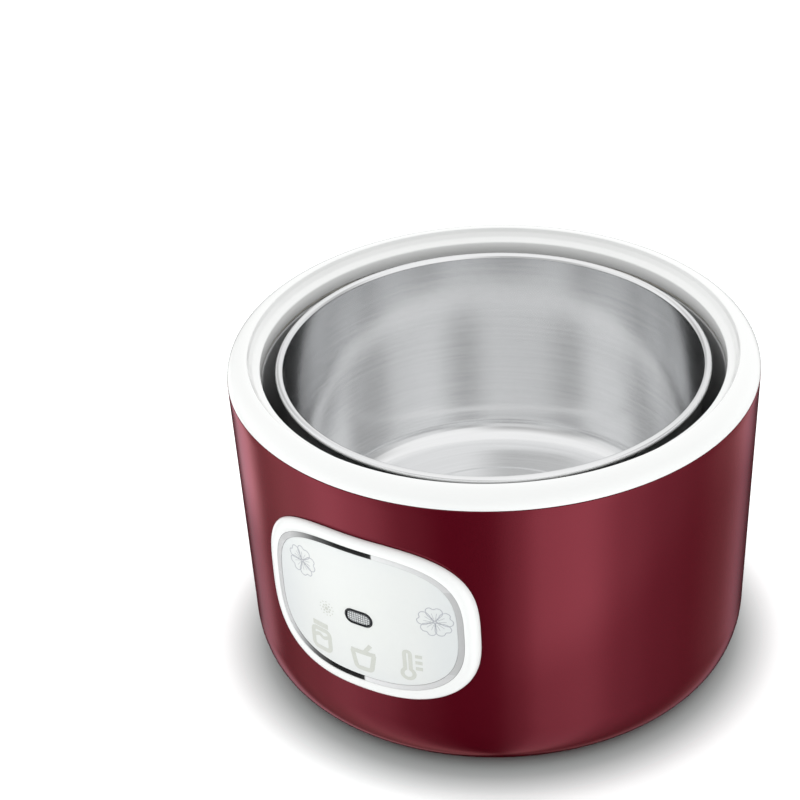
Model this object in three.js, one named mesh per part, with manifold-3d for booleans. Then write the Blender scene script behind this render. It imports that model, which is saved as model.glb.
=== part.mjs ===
// A round countertop yogurt maker: a tapered burgundy housing with a white rim, a heated
// aluminium well, a stainless inner pot that lifts out, and an indicator panel on the front.
// Millimetres, +Z up. The origin is on the table under the centre; the panel faces -Y.
import * as THREE from "three";
import { mergeVertices } from "three/addons/utils/BufferGeometryUtils.js";
import Module from "manifold-3d";

const wasm = await Module();
wasm.setup();

// ---- driving dimensions ----
const SEGMENTS = 40; // facets round the large turned pieces
const SMALL_SEGMENTS = 12; // facets round screws, feet and pins
const GAP = 0.3; // clearance between pieces that rest on each other

const SHELL_TOP_RADIUS = 100;
const SHELL_TOP_Z = 119.5;
const SHELL_TAPER = 0.044; // radius lost per millimetre of drop
const SHELL_WALL = 2.5;
const SHELL_FOOT_RADIUS = 87.5;
const SHELL_FOOT_Z = 1.5;
const CORNER_HEIGHT = 18; // height of the rounded bottom corner
const SHELL_LIP_RADIUS = 84.5; // opening that the base cover fills

const RIM_RADIUS = 99.9;
const RIM_CREST_RADIUS = 92.4;
const RIM_CREST_HEIGHT = 6.4; // above the shell's top edge
const RIM_THROAT_RADIUS = 87;
const RIM_LIP_Z = 117; // lower edge of the throat
const SKIRT_INNER_RADIUS = 94.8; // the rim's skirt plugs into the shell
const SKIRT_RADIUS = 96.6;
const SKIRT_FOOT_Z = 111;

const WELL_RADIUS = 86.9; // inside
const WELL_WALL = 1.2;
const WELL_FLOOR_Z = 34;
const WELL_FLANGE_Z = 115.6;
const WELL_FLANGE_RADIUS = 94;
const LINER_SCREW_CIRCLE = 91.9;
const LINER_SCREW_FIRST = 30; // degrees
const LINER_SCREW = { z: 112, headRadius: 2.3, headHeight: 2.1, shankRadius: 1, length: 5.4 };
const HEAT_PLATE_RADIUS = 60;
const HEAT_PLATE_THICKNESS = 3;
const STUDS = [[34, 0], [-34, 0], [0, 34]]; // studs under the heat plate
const STUD_RADIUS = 1.8;
const STUD_HOLE = 2.3;

const POT_RIM_RADIUS = 82;
const POT_RIM_TOP_Z = 121;
const POT_ROLL = 1.6; // radius of the rolled rim
const POT_WALL = 1;
const POT_FOOT_RADIUS = 75.5; // the wall's radius at the floor, before its round corner
const POT_CORNER = 10;

const PANEL_Z = 65.8; // height of the panel's centre
const PANEL_HALF_WIDTH = 44.2;
const PANEL_HALF_HEIGHT = 34.7;
const PANEL_BAND = 4.3; // width of the white frame
const PANEL_ROUNDNESS = 3; // exponent of the rounded outline
const FLANGE = 2.9; // overlap of the frame on the shell
const FRAME_PROUD = 2.6; // how far the frame stands out of the shell
const TRIM_WIDTH = 2.1;
const LAMP_Z = 64.6;
const LAMP_HOLE = [12, 6.8]; // length and height of the lamp's stadium outlines
const LAMP_BEZEL = [11.4, 6.2];
const LAMP_OPENING = [10.4, 5.2];
const LAMP_LENS = [9.8, 4.6];

const BASE_Z = 2.5; // underside of the base cover
const BASE_THICKNESS = 2.5;
const BASE_RADIUS = 83.9;
const BASE_RIM_Z = 7.5; // top of the cover's upturned rim
const SCREW_CIRCLE = 78;
const SCREW_FIRST = 45; // degrees
const BASE_SCREW = { z: 2.7, headRadius: 3.4, headHeight: 1.9, shankRadius: 1.4, length: 12 };
const FOOT_CIRCLE = 68;
const FOOT_RADIUS = 7;

const INLET_Z = 22;
const INLET_FACE_Y = 101.8;
const INLET_SEAT_Y = 100.4; // flat pad on the shell behind the inlet's flange
const PIN_X = 4.3; // two pins, 8.6 apart

const COLOURS = {
  burgundy: { color: 0x6b1a26, roughness: 0.38, metalness: 0.0 },
  white: { color: 0xf3f3f1, roughness: 0.25, metalness: 0.0 },
  pearl: { color: 0xe4e7e9, roughness: 0.3, metalness: 0.2 },
  chrome: { color: 0xc4c6c8, roughness: 0.12, metalness: 1.0 },
  stainless: { color: 0xcfd1d2, roughness: 0.18, metalness: 1.0 },
  aluminium: { color: 0xb4b6b8, roughness: 0.35, metalness: 1.0 },
  smoke: { color: 0x3a3c40, roughness: 0.3, metalness: 0.2 },
  clear: { color: 0xd8dde0, roughness: 0.1, metalness: 0.0 },
  black: { color: 0x17181a, roughness: 0.5, metalness: 0.0 },
  rubber: { color: 0x2a2b2d, roughness: 0.85, metalness: 0.0 },
  silicone: { color: 0xe9e6df, roughness: 0.7, metalness: 0.0 },
  steel: { color: 0x9fa1a4, roughness: 0.3, metalness: 1.0 },
  brass: { color: 0xc8a25a, roughness: 0.3, metalness: 1.0 },
  circuit: { color: 0x2f6b3c, roughness: 0.5, metalness: 0.0 },
  brown: { color: 0x6a4326, roughness: 0.6, metalness: 0.0 },
  blue: { color: 0x2c5fa8, roughness: 0.6, metalness: 0.0 },
  red: { color: 0xa92a24, roughness: 0.6, metalness: 0.0 },
};

// ---- geometry helpers ----
const radians = THREE.MathUtils.degToRad;
const point = (x, y) => new THREE.Vector2(x, y);

/** A solid turned about Z from a profile of [radius, z], its outer side running upwards. */
function turned(profile, segments = SEGMENTS) {
  const geometry = new THREE.LatheGeometry(profile.map(([r, z]) => point(r, z)), segments);
  return toSolid(geometry.rotateX(Math.PI / 2));
}

/** A closed ring profile: the last point joins the first. */
const closed = (profile) => [...profile, profile[0]];

/** Points of a quarter or part ellipse in [radius, z], from one angle to another in degrees. */
function arc(centreR, centreZ, radiusR, radiusZ, from, to, steps = 6) {
  return Array.from({ length: steps + 1 }, (_, i) => {
    const angle = radians(from + ((to - from) * i) / steps);
    return [centreR + radiusR * Math.cos(angle), centreZ + radiusZ * Math.sin(angle)];
  });
}

/** A manifold solid from a closed three.js geometry. */
function toSolid(geometry) {
  const bare = geometry.clone();
  bare.deleteAttribute("normal");
  bare.deleteAttribute("uv");
  const merged = mergeVertices(bare, 1e-4);
  const mesh = new wasm.Mesh({
    numProp: 3,
    vertProperties: new Float32Array(merged.attributes.position.array),
    triVerts: new Uint32Array(merged.index.array),
  });
  return new wasm.Manifold(mesh);
}

/** A three.js geometry from a manifold solid. */
function toGeometry(solid) {
  const { vertProperties, triVerts } = solid.getMesh();
  const geometry = new THREE.BufferGeometry();
  geometry.setAttribute("position", new THREE.Float32BufferAttribute(vertProperties, 3));
  geometry.setIndex(new THREE.Uint32BufferAttribute(triVerts, 1));
  geometry.computeVertexNormals();
  return geometry;
}

/** A box between two corners. */
function box(low, high) {
  const size = high.map((value, i) => value - low[i]);
  const geometry = new THREE.BoxGeometry(...size);
  geometry.translate(...low.map((value, i) => value + size[i] / 2));
  return toSolid(geometry);
}

/** An upright cylinder, standing on z0. */
function post(x, y, z0, z1, radius, segments = SMALL_SEGMENTS) {
  const geometry = new THREE.CylinderGeometry(radius, radius, z1 - z0, segments);
  geometry.rotateX(Math.PI / 2).translate(x, y, (z0 + z1) / 2);
  return toSolid(geometry);
}

/** A prism of a shape drawn in X and Z, running from y0 to y1. */
function prismY(shape, y0, y1) {
  const geometry = new THREE.ExtrudeGeometry(shape, { depth: y1 - y0, bevelEnabled: false });
  geometry.rotateX(Math.PI / 2).translate(0, y1, 0);
  return toSolid(geometry);
}

/** A rounded outline, between an ellipse and a rectangle, about (cx, cz). */
function superellipse(halfWidth, halfHeight, exponent, cx, cz, count = 36) {
  const power = (value) => Math.sign(value) * Math.abs(value) ** (2 / exponent);
  const points = Array.from({ length: count }, (_, i) => {
    const angle = (2 * Math.PI * i) / count;
    return point(cx + halfWidth * power(Math.cos(angle)), cz + halfHeight * power(Math.sin(angle)));
  });
  return new THREE.Shape(points);
}

/** A stadium outline, straight in the middle with round ends. */
function stadium(length, height, cx, cz, steps = 6) {
  const radius = height / 2;
  const reach = length / 2 - radius;
  const shape = new THREE.Shape();
  shape.absarc(cx + reach, cz, radius, -Math.PI / 2, Math.PI / 2, false);
  shape.absarc(cx - reach, cz, radius, Math.PI / 2, (3 * Math.PI) / 2, false);
  return new THREE.Shape(shape.getPoints(steps));
}

/** Positions evenly spaced on a circle. */
function around(count, radius, firstDegrees) {
  return Array.from({ length: count }, (_, i) => {
    const angle = radians(firstDegrees + (360 * i) / count);
    return [radius * Math.cos(angle), radius * Math.sin(angle)];
  });
}

const baseScrewPlaces = around(4, SCREW_CIRCLE, SCREW_FIRST);
const linerScrewPlaces = around(3, LINER_SCREW_CIRCLE, LINER_SCREW_FIRST);

// ---- housing ----
const shellRadiusAt = (z) => SHELL_TOP_RADIUS - SHELL_TAPER * (SHELL_TOP_Z - z);

/** The space between two offsets from the shell's outer face, round the panel's height. */
function shellBand(inner, outer) {
  const low = PANEL_Z - 44;
  const high = PANEL_Z + 44;
  return turned(
    closed([
      [shellRadiusAt(low) + inner, low],
      [shellRadiusAt(low) + outer, low],
      [shellRadiusAt(high) + outer, high],
      [shellRadiusAt(high) + inner, high],
    ]),
    2 * SEGMENTS
  );
}

/** A panel piece: the outline, less an optional hole, bent to the shell's face. */
function panelPiece(outline, inner, outer, hole = null) {
  const reach = [-115, -70];
  let solid = prismY(outline, ...reach).intersect(shellBand(inner, outer));
  if (hole) solid = solid.subtract(prismY(hole, reach[0] - 1, reach[1] + 1));
  return solid;
}

const panelOutline = (inset) =>
  superellipse(PANEL_HALF_WIDTH - inset, PANEL_HALF_HEIGHT - inset, PANEL_ROUNDNESS, 0, PANEL_Z);

function outerShell() {
  const cornerZ = SHELL_FOOT_Z + CORNER_HEIGHT;
  const cornerWidth = shellRadiusAt(cornerZ) - SHELL_FOOT_RADIUS;
  const outerCorner = arc(SHELL_FOOT_RADIUS, cornerZ, cornerWidth, CORNER_HEIGHT, -90, 0, 5);
  const innerCorner = arc(
    SHELL_FOOT_RADIUS, cornerZ, cornerWidth - SHELL_WALL, CORNER_HEIGHT - SHELL_WALL, 0, -90, 3
  );
  let shell = turned(
    closed([
      [SHELL_LIP_RADIUS, SHELL_FOOT_Z],
      ...outerCorner,
      [SHELL_TOP_RADIUS, SHELL_TOP_Z],
      [SHELL_TOP_RADIUS - SHELL_WALL, SHELL_TOP_Z],
      ...innerCorner,
      [SHELL_LIP_RADIUS, SHELL_FOOT_Z + SHELL_WALL],
    ])
  );
  shell = shell.add(prismY(superellipse(16, 11, 4, 0, INLET_Z, 24), 90, INLET_SEAT_Y));
  for (let i = 0; i < 4; i++) shell = shell.add(screwBoss(SCREW_FIRST + 90 * i));
  shell = shell.subtract(panelPiece(panelOutline(FLANGE - 0.5), -8, 8));
  return shell.subtract(prismY(stadium(20.2, 12.2, 0, INLET_Z), 85, 105));
}

/** A base screw's boss with the rib that ties it to the shell's wall. */
function screwBoss(angle) {
  const boss = post(SCREW_CIRCLE, 0, 7.8, 24, 4).subtract(post(SCREW_CIRCLE, 0, 7, 20, 1.8));
  const rib = box([SCREW_CIRCLE + 3.2, -1.2, 9.5], [92.6, 1.2, 24]);
  return boss.add(rib).rotate([0, 0, angle]);
}

function rimRing() {
  const seat = SHELL_TOP_Z + GAP;
  const outerWidth = RIM_RADIUS - RIM_CREST_RADIUS;
  let ring = turned(
    closed([
      ...arc(RIM_CREST_RADIUS, seat, outerWidth, RIM_CREST_HEIGHT, 0, 90, 5),
      [RIM_CREST_RADIUS - 0.8, seat + RIM_CREST_HEIGHT - 0.3],
      [RIM_THROAT_RADIUS + 0.7, SHELL_TOP_Z + 3.3],
      [RIM_THROAT_RADIUS, SHELL_TOP_Z + 2.5],
      [RIM_THROAT_RADIUS, RIM_LIP_Z],
      [RIM_THROAT_RADIUS + 2, RIM_LIP_Z],
      [RIM_THROAT_RADIUS + 2, 121.2],
      [RIM_CREST_RADIUS, 123.9],
      [SKIRT_INNER_RADIUS, 122.4],
      [SKIRT_INNER_RADIUS, SKIRT_FOOT_Z],
      [SKIRT_RADIUS, SKIRT_FOOT_Z],
      [SKIRT_RADIUS + 0.2, seat],
    ])
  );
  for (const [x, y] of linerScrewPlaces) {
    ring = ring.add(post(x, y, WELL_FLANGE_Z + GAP, 122, 2.6).subtract(post(x, y, 115, 120.5, 1.3)));
  }
  return ring;
}

function baseCover() {
  const top = BASE_Z + BASE_THICKNESS;
  let base = turned([
    [0, BASE_Z], [BASE_RADIUS, BASE_Z], [BASE_RADIUS, BASE_RIM_Z],
    [BASE_RADIUS - 1.7, BASE_RIM_Z], [BASE_RADIUS - 1.7, top], [0, top],
  ]);
  for (const [x, y] of around(4, SCREW_CIRCLE - 0.6, SCREW_FIRST)) {
    base = base.add(post(x, y, 4, BASE_RIM_Z, 5.6));
  }
  for (const [x, y] of baseScrewPlaces) {
    base = base.subtract(post(x, y, 2, 4.9, 4)).subtract(post(x, y, 2, 8, 1.9));
  }
  for (const [x, y] of around(4, FOOT_CIRCLE, 0)) {
    base = base.subtract(post(x, y, 2, 3.9, FOOT_RADIUS + 0.4));
  }
  for (let i = 0; i < 8; i++) {
    base = base.subtract(box([26, -1.5, 0], [46, 1.5, 8]).rotate([0, 0, 22.5 + 45 * i]));
  }
  return base;
}

const foot = ([x, y]) => {
  const profile = [[0, 0], [FOOT_RADIUS - 1, 0], [FOOT_RADIUS, 1], [FOOT_RADIUS, 3.6], [0, 3.6]];
  return turned(profile, 16).translate([x, y, 0]);
};

/** A pan-head screw pointing up, the face of its head at z. */
function screwUp([x, y], { z, headRadius, headHeight, shankRadius, length }) {
  const neck = z + headHeight;
  return post(x, y, z, neck, headRadius).add(post(x, y, neck - 0.2, neck + length, shankRadius, 12));
}

// ---- well and heater ----
function wellLiner() {
  const corner = 8;
  const inside = arc(WELL_RADIUS - corner, WELL_FLOOR_Z + corner, corner, corner, 0, -90, 4);
  const outside = arc(
    WELL_RADIUS - corner, WELL_FLOOR_Z + corner, corner + WELL_WALL, corner + WELL_WALL, -90, 0, 4
  );
  let liner = turned([
    [0, WELL_FLOOR_Z - WELL_WALL],
    ...outside,
    [WELL_RADIUS + WELL_WALL, WELL_FLANGE_Z - WELL_WALL],
    [WELL_FLANGE_RADIUS, WELL_FLANGE_Z - WELL_WALL],
    [WELL_FLANGE_RADIUS, WELL_FLANGE_Z],
    [WELL_RADIUS, WELL_FLANGE_Z],
    ...inside,
    [0, WELL_FLOOR_Z],
  ]);
  for (const [x, y] of linerScrewPlaces) liner = liner.subtract(post(x, y, 113, 117, 1.7));
  for (const [x, y] of STUDS) liner = liner.subtract(post(x, y, 30, 36, STUD_HOLE));
  return liner;
}

const LINER_UNDERSIDE = WELL_FLOOR_Z - WELL_WALL;
const EAR = 1.2; // thickness of the sheet that the nuts clamp

const wellGasket = () =>
  turned(closed([[87.4, 115.9], [88.9, 115.9], [88.9, 116.7], [87.4, 116.7]]));

function heatPlate() {
  const low = WELL_FLOOR_Z + GAP;
  const high = low + HEAT_PLATE_THICKNESS;
  let plate = turned([
    [0, low], [HEAT_PLATE_RADIUS, low], [HEAT_PLATE_RADIUS, high - 1],
    [HEAT_PLATE_RADIUS - 1, high], [0, high],
  ]);
  for (const [x, y] of STUDS) plate = plate.add(post(x, y, 26.5, low + 1, STUD_RADIUS, 12));
  return plate;
}

/** A hexagonal nut on a stud, its upper face at z1. */
const nut = ([x, y], z1) => post(x, y, z1 - 3, z1, 3.8, 6).subtract(post(x, y, 20, 40, 2.2, 12));

function ptcHeater() {
  const high = LINER_UNDERSIDE - GAP;
  const body = box([-24, -10, high - 5], [24, 10, high]);
  const tabs = [-7, 7].map((x) => box([x - 2, -17, high - 3], [x + 2, -9, high - 2]));
  return body.add(tabs[0]).add(tabs[1]);
}

/** The hat-shaped strap that holds the heating element against the well's floor. */
function heaterBracket() {
  const ear = LINER_UNDERSIDE - GAP;
  const hat = ear - 6.3; // underside of the strap below the element
  const outline = [
    [-40, ear], [-26, ear], [-25, hat + 0.9], [25, hat + 0.9], [26, ear], [40, ear],
    [40, ear - EAR], [27, ear - EAR], [26, hat - 0.3], [-26, hat - 0.3], [-27, ear - EAR], [-40, ear - EAR],
  ];
  let strap = prismY(new THREE.Shape(outline.map(([x, z]) => point(x, z))), -6, 6);
  for (const x of [-34, 34]) strap = strap.subtract(post(x, 0, 20, 40, STUD_HOLE));
  return strap;
}

/** A bimetal thermostat, clamped by an ear under the third stud's nut. */
function thermostat() {
  const high = LINER_UNDERSIDE - GAP;
  const can = post(-18, 34, high - 6, high, 8.5, 20).add(post(-18, 34, high - 10, high - 5.5, 7, 20));
  const ear = box([-11, 30, high - EAR], [4.5, 38, high]).subtract(post(0, 34, 20, 40, STUD_HOLE, 12));
  const tab = (x) => box([x - 2.2, 33.6, high - 16], [x + 2.2, 34.4, high - 9]);
  return can.add(ear).add(tab(-21.5)).add(tab(-14.5));
}

function thermalFuse() {
  const geometry = new THREE.CylinderGeometry(2.2, 2.2, 13, 12);
  geometry.rotateZ(Math.PI / 2).translate(18, -34, LINER_UNDERSIDE - 2.6);
  return toSolid(geometry);
}

function terminalBlock() {
  const low = BASE_Z + BASE_THICKNESS + GAP;
  let block = box([-15, 44, low], [15, 58, low + 12]);
  for (const x of [-10, 0, 10]) block = block.subtract(post(x, 51, low + 7, low + 13, 2.4, 10));
  return block;
}

// ---- power inlet ----
function inletHousing() {
  const flange = prismY(stadium(26, 16.5, 0, INLET_Z), INLET_SEAT_Y + GAP, INLET_FACE_Y);
  const body = prismY(stadium(19.4, 11.4, 0, INLET_Z), INLET_FACE_Y - 18, INLET_FACE_Y - 0.5);
  const recess = prismY(stadium(16.6, 8.6, 0, INLET_Z), INLET_FACE_Y - 15, INLET_FACE_Y + 1);
  let housing = flange.add(body).subtract(recess);
  for (const x of [-PIN_X, PIN_X]) housing = housing.subtract(pinRod(x, -20, 2, 1.5));
  return housing;
}

/** A rod along Y through the inlet, between two distances behind its face. */
function pinRod(x, from, to, radius) {
  const geometry = new THREE.CylinderGeometry(radius, radius, to - from, 12);
  return toSolid(geometry.translate(x, INLET_FACE_Y + (from + to) / 2, INLET_Z));
}

// ---- indicator panel ----
/** The white frame: a rim over the shell, a collar through it, a ledge and four snap ridges. */
function panelFrame() {
  const opening = panelOutline(PANEL_BAND);
  const rim = panelPiece(panelOutline(0), GAP, FRAME_PROUD, opening);
  const collar = panelPiece(panelOutline(FLANGE), -4, FRAME_PROUD - 0.6, opening);
  const ledge = panelPiece(panelOutline(FLANGE), -1.8, 0, panelOutline(PANEL_BAND + 4));
  const ridge = panelPiece(panelOutline(FLANGE - 1.6), -4, -2.9, opening);
  const sides = box([-60, -115, PANEL_Z - 9], [60, -60, PANEL_Z + 9]);
  const ends = box([-14, -115, PANEL_Z - 60], [14, -60, PANEL_Z + 60]);
  return rim.add(collar).add(ledge).add(ridge.intersect(sides.add(ends)));
}

const panelTrim = () =>
  panelPiece(panelOutline(PANEL_BAND + GAP), GAP, 2, panelOutline(PANEL_BAND + GAP + TRIM_WIDTH));

const panelPlate = () =>
  panelPiece(panelOutline(PANEL_BAND + 2 * GAP + TRIM_WIDTH), GAP, 1.8, lampOutline(LAMP_HOLE));

const lampOutline = ([length, height]) => stadium(length, height, 0, LAMP_Z);
const lampBezel = () => panelPiece(lampOutline(LAMP_BEZEL), GAP, 2.4, lampOutline(LAMP_OPENING));
const lampLens = () => panelPiece(lampOutline(LAMP_LENS), -1, 2.2);

function lightBox() {
  const block = box([-8, -96.9, LAMP_Z - 5.5], [8, -91.6, LAMP_Z + 5.5]);
  return block.subtract(box([-6.4, -99, LAMP_Z - 4], [6.4, -90, LAMP_Z + 4]));
}

const lampBoard = () => box([-9, -91.3, LAMP_Z - 7], [9, -89.9, LAMP_Z + 7]);

function lampLed() {
  const flat = new THREE.CylinderGeometry(1.6, 1.6, 2.4, 16);
  const dome = new THREE.SphereGeometry(1.6, 16, 8);
  const body = toSolid(flat.translate(0, -92.8, LAMP_Z));
  return body.add(toSolid(dome.translate(0, -94, LAMP_Z)));
}

// ---- inner pot ----
function innerPot() {
  const floor = WELL_FLOOR_Z + 2 * GAP + HEAT_PLATE_THICKNESS + 0.1; // stands on the heat plate
  const [foot, corner] = [POT_FOOT_RADIUS, POT_CORNER];
  const rollR = POT_RIM_RADIUS - POT_ROLL;
  const rollZ = POT_RIM_TOP_Z - POT_ROLL;
  return turned([
    [0, floor],
    ...arc(foot - corner, floor + corner, corner, corner, -90, 0, 4),
    [rollR - POT_ROLL + POT_WALL, rollZ - POT_ROLL - 0.6],
    ...arc(rollR, rollZ, POT_ROLL, POT_ROLL, -90, 180, 6),
    ...arc(foot - corner, floor + corner, corner - POT_WALL, corner - POT_WALL, 0, -90, 4),
    [0, floor + POT_WALL],
  ]);
}

// ---- wiring ----
/** An insulated wire through the given points. */
function wire(points, radius = 0.9, steps = 14) {
  const path = new THREE.CatmullRomCurve3(points.map((p) => new THREE.Vector3(...p)));
  const section = new THREE.Shape(new THREE.Path().absarc(0, 0, radius, 0, 2 * Math.PI).getPoints(3));
  const geometry = new THREE.ExtrudeGeometry(section, { steps, bevelEnabled: false, extrudePath: path });
  return toSolid(geometry);
}

const WIRES = {
  live_wire: ["brown", [[-4.3, 80, 22], [-6, 72, 20], [-9, 64, 16], [-10, 58.6, 11]]],
  neutral_wire: ["blue", [[4.3, 80, 22], [6, 72, 20], [9, 64, 16], [10, 58.6, 11]]],
  thermostat_lead: ["brown", [[-10, 43.4, 10], [-16, 39, 9], [-21, 36, 11], [-21.5, 34, 15]]],
  fuse_lead: ["red", [
    [-14.5, 34, 15], [-14, 22, 11], [-10, 0, 12], [-8, -26, 14], [2, -33, 22], [10.8, -34, 30],
  ]],
  heater_live_lead: ["red", [
    [25.2, -34, 30], [30, -31, 26], [22, -24, 23], [12, -21, 26], [7, -18.2, 29.9],
  ]],
  heater_neutral_lead: ["blue", [
    [10, 43.4, 10], [22, 26, 9], [20, -8, 10], [4, -21, 20], [-7, -18.2, 29.9],
  ]],
  lamp_live_lead: ["red", [
    [0, 43.4, 10], [-6, 20, 7.6], [-12, -40, 8], [-6, -72, 12], [-4, -86, 24],
    [-4, -90.1, 38], [-4, -90.2, 48], [-4, -90.6, 56.6],
  ]],
  lamp_neutral_lead: ["blue", [
    [14, 43.4, 13], [14, 20, 7.6], [12, -40, 8], [6, -72, 12], [4, -86, 24],
    [4, -90.1, 38], [4, -90.2, 48], [4, -90.6, 56.6],
  ]],
};

// ---- assembly ----
const model = new THREE.Group();

/** Adds a named solid, optionally to a subgroup. */
function place(name, colour, solid, parent = model) {
  const mesh = new THREE.Mesh(toGeometry(solid), new THREE.MeshStandardMaterial(COLOURS[colour]));
  mesh.name = name;
  parent.add(mesh);
}

const housing = new THREE.Group();
place("outer_shell", "burgundy", outerShell(), housing);
place("rim_ring", "white", rimRing(), housing);
place("base_cover", "white", baseCover(), housing);
around(4, FOOT_CIRCLE, 0).forEach((at, i) => place(`foot_${i + 1}`, "rubber", foot(at), housing));
baseScrewPlaces.forEach((at, i) => place(`base_screw_${i + 1}`, "steel", screwUp(at, BASE_SCREW), housing));
model.add(housing);

const heating = new THREE.Group();
place("well_liner", "aluminium", wellLiner(), heating);
place("well_gasket", "silicone", wellGasket(), heating);
linerScrewPlaces.forEach((at, i) =>
  place(`liner_screw_${i + 1}`, "steel", screwUp(at, LINER_SCREW), heating)
);
place("heat_plate", "aluminium", heatPlate(), heating);
STUDS.forEach((at, i) =>
  place(`plate_nut_${i + 1}`, "steel", nut(at, LINER_UNDERSIDE - 2 * GAP - EAR), heating)
);
place("ptc_heater", "aluminium", ptcHeater(), heating);
place("heater_bracket", "steel", heaterBracket(), heating);
place("thermostat", "black", thermostat(), heating);
place("thermal_fuse", "silicone", thermalFuse(), heating);
model.add(heating);

const power = new THREE.Group();
place("inlet_housing", "black", inletHousing(), power);
[-PIN_X, PIN_X].forEach((x, i) => place(`inlet_pin_${i + 1}`, "brass", pinRod(x, -21, -5.5, 1.2), power));
place("terminal_block", "white", terminalBlock(), power);
for (const [name, [colour, points]] of Object.entries(WIRES)) place(name, colour, wire(points), power);
model.add(power);

const panel = new THREE.Group();
place("panel_frame", "white", panelFrame(), panel);
place("panel_trim", "chrome", panelTrim(), panel);
place("panel_plate", "pearl", panelPlate(), panel);
place("lamp_bezel", "smoke", lampBezel(), panel);
place("lamp_lens", "clear", lampLens(), panel);
place("lamp_light_box", "black", lightBox(), panel);
place("lamp_board", "circuit", lampBoard(), panel);
place("lamp_led", "red", lampLed(), panel);
model.add(panel);

place("inner_pot", "stainless", innerPot());

export default model;
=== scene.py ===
"""A round yogurt maker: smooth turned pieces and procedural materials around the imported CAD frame.

Pieces are built in millimetres in the frame's own axes (+Z up, the panel on -Y) and stored in metres.
"""

import math

import bmesh
import bpy
import numpy as np
from mathutils import Matrix, Vector


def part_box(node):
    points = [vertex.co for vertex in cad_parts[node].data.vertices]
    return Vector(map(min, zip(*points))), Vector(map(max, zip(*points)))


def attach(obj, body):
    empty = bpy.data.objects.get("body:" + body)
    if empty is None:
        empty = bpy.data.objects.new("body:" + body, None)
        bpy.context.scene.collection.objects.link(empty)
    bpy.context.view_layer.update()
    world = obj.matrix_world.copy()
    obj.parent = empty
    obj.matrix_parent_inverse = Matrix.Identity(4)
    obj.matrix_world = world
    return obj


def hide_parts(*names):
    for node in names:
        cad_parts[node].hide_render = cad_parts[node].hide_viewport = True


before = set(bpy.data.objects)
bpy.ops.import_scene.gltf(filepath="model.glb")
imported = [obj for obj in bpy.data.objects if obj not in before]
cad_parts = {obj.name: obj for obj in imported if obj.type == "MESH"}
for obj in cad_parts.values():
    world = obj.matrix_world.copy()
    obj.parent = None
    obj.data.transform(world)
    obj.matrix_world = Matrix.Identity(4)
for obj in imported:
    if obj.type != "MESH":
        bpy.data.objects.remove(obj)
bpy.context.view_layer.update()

MM = 0.001
SEGMENTS = 256  # round the large turned pieces
OUTLINE_POINTS = 224  # round the panel's outlines


def node_box(node):
    """The lowest and highest corner of a CAD node, in millimetres."""
    low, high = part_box(node)
    return Vector(low) / MM, Vector(high) / MM


# ---- driving dimensions, millimetres ----
SHELL_LOW, SHELL_HIGH = node_box("outer_shell")
SHELL_TOP_RADIUS = SHELL_HIGH.x
SHELL_TOP_Z = SHELL_HIGH.z
SHELL_FOOT_Z = SHELL_LOW.z
SHELL_TAPER = 0.044  # radius lost per millimetre of drop
SHELL_WALL = 2.5
GAP = 0.3  # clearance between pieces
SHELL_FOOT_RADIUS = 87.5
SHELL_LIP_RADIUS = 84.5
CORNER_HEIGHT = 18

RIM_HIGH = node_box("rim_ring")[1]
RIM_RADIUS = RIM_HIGH.x
RIM_CREST_RADIUS = 92.4
RIM_THROAT_RADIUS = 87

WELL_RADIUS = 86.9
WELL_WALL = 1.2
WELL_LOW, WELL_HIGH = node_box("well_liner")
WELL_FLOOR_Z = WELL_LOW.z + WELL_WALL

POT_LOW, POT_HIGH = node_box("inner_pot")
POT_RIM_RADIUS = POT_HIGH.x
POT_ROLL = 1.6
POT_WALL = 1.0

PANEL_LOW, PANEL_HIGH = node_box("panel_frame")
PANEL_Z = (PANEL_LOW.z + PANEL_HIGH.z) / 2
PANEL_HALF_WIDTH = PANEL_HIGH.x
PANEL_HALF_HEIGHT = (PANEL_HIGH.z - PANEL_LOW.z) / 2
PANEL_BAND = 4.3
TRIM_WIDTH = 2.1
SEAM = 0.04  # what shows of the gaps beside the trim
PANEL_ROUNDNESS = 3
FLANGE = 2.9
PLATE_TOP = 1.8  # offset of the plate's face from the shell's
INK_DEPTH = 0.05  # how far the prints stand out of the plate's face, and reach into it
LAMP_HOLE, LAMP_RING, LENS_SIZE = (12, 6.8), ((11.4, 6.2), (10.4, 5.2)), (9.8, 4.6)  # lengths and heights
LENS_PITCH = 0.95  # size of the prisms moulded in the lamp's lens
LAMP_Z = (node_box("lamp_lens")[0].z + node_box("lamp_lens")[1].z) / 2

BASE_LOW, BASE_HIGH = node_box("base_cover")
SCREW_CIRCLE = 78
LINER_SCREW_CIRCLE = 91.9
FOOT_CIRCLE = 68
FOOT_RADIUS = 7

INLET_LOW, INLET_HIGH = node_box("inlet_housing")
INLET_Z = (INLET_LOW.z + INLET_HIGH.z) / 2
INLET_FACE_Y = INLET_HIGH.y
INLET_SEAT_Y = SHELL_HIGH.y
PIN_X = 4.3
STUDS = [(34, 0), (-34, 0), (0, 34)]


# ---- mesh helpers ----
def make_piece(name, points, faces, material, smooth_degrees=32):
    """A new mesh object from points in millimetres."""
    mesh = bpy.data.meshes.new(name)
    mesh.from_pydata([tuple(c * MM for c in p) for p in points], [], faces)
    mesh.validate()
    obj = bpy.data.objects.new(name, mesh)
    bpy.context.scene.collection.objects.link(obj)
    obj.data.materials.append(MATERIALS[material])
    tidy_mesh(obj, smooth_degrees)
    return obj


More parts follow.
